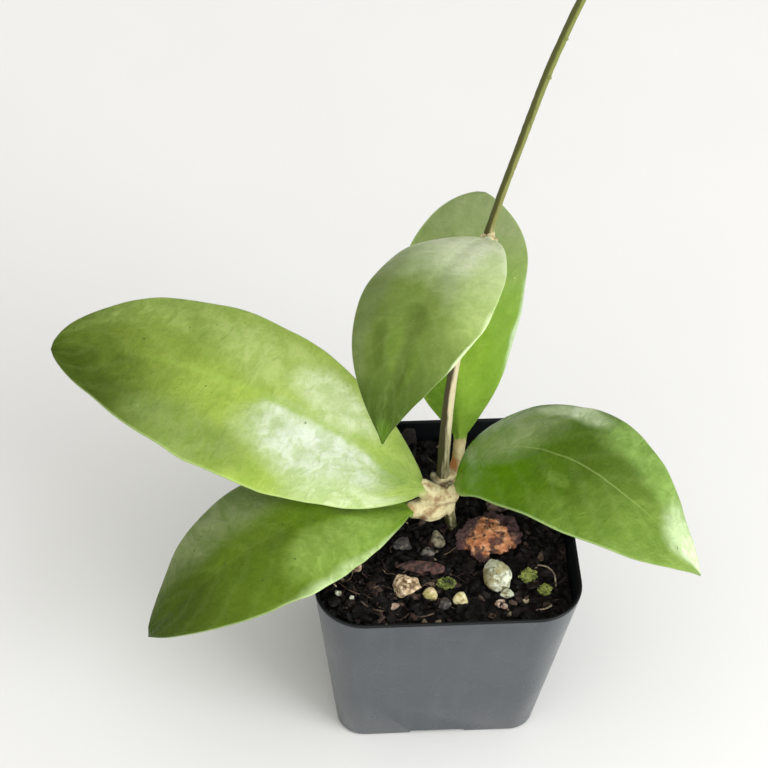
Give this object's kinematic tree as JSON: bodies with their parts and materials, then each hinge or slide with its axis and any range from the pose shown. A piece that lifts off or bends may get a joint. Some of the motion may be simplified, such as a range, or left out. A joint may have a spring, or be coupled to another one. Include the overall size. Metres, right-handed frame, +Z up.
{
  "type": "potted hoya plant",
  "caption": "Young trailing house plant with thick waxy oval leaves and a bare climbing vine, standing in a small square nursery pot of bark mix.",
  "frame": {"origin": "centre of the pot's underside, on the surface it stands on", "axes": "+Z up along the stem, -Y towards the front of the pot, +X to the right seen from the front"},
  "size_m": [0.1522, 0.0845, 0.2335],
  "materials": {
    "pot_plastic": "satin dark slate-grey moulded plastic, near black inside",
    "potting_mix": "rough near-black bark and peat",
    "stem": "olive-brown living stem, pale corky crown",
    "leaf": "thick smooth green leaf with a waxy sheen, cream petiole",
    "bark": "crumbly red-brown bark",
    "pumice": "pale porous pumice",
    "tan_stone": "matt tan and yellow pebble",
    "grey_stone": "dull grey chip",
    "moss": "damp green moss tuft"
  },
  "bodies": {
    "root": {"pot": "pot_plastic", "potting_mix": "potting_mix", "main_stem": "stem", "leaf_large_left": "leaf", "leaf_low_left": "leaf", "leaf_front_high": "leaf", "leaf_back_upright": "leaf", "leaf_right_arched": "leaf", "bark_lump": "bark", "bark_sliver": "bark", "bark_chip_right": "bark", "bark_chip_back": "bark", "pumice_stone": "pumice", "pumice_chip": "pumice", "pumice_crumb_left": "pumice", "pumice_crumb_front": "pumice", "pebble_rough_tan": "tan_stone", "pebble_round_tan": "tan_stone", "pebble_yellow": "tan_stone", "pebble_pink": "tan_stone", "chip_pink": "tan_stone", "chip_pale_left": "tan_stone", "pebble_grey": "grey_stone", "chip_grey_middle": "grey_stone", "chip_grey_small": "grey_stone", "chip_grey_left": "grey_stone", "moss_left": "moss", "moss_middle": "moss", "moss_right": "moss"}
  },
  "joints": []
}
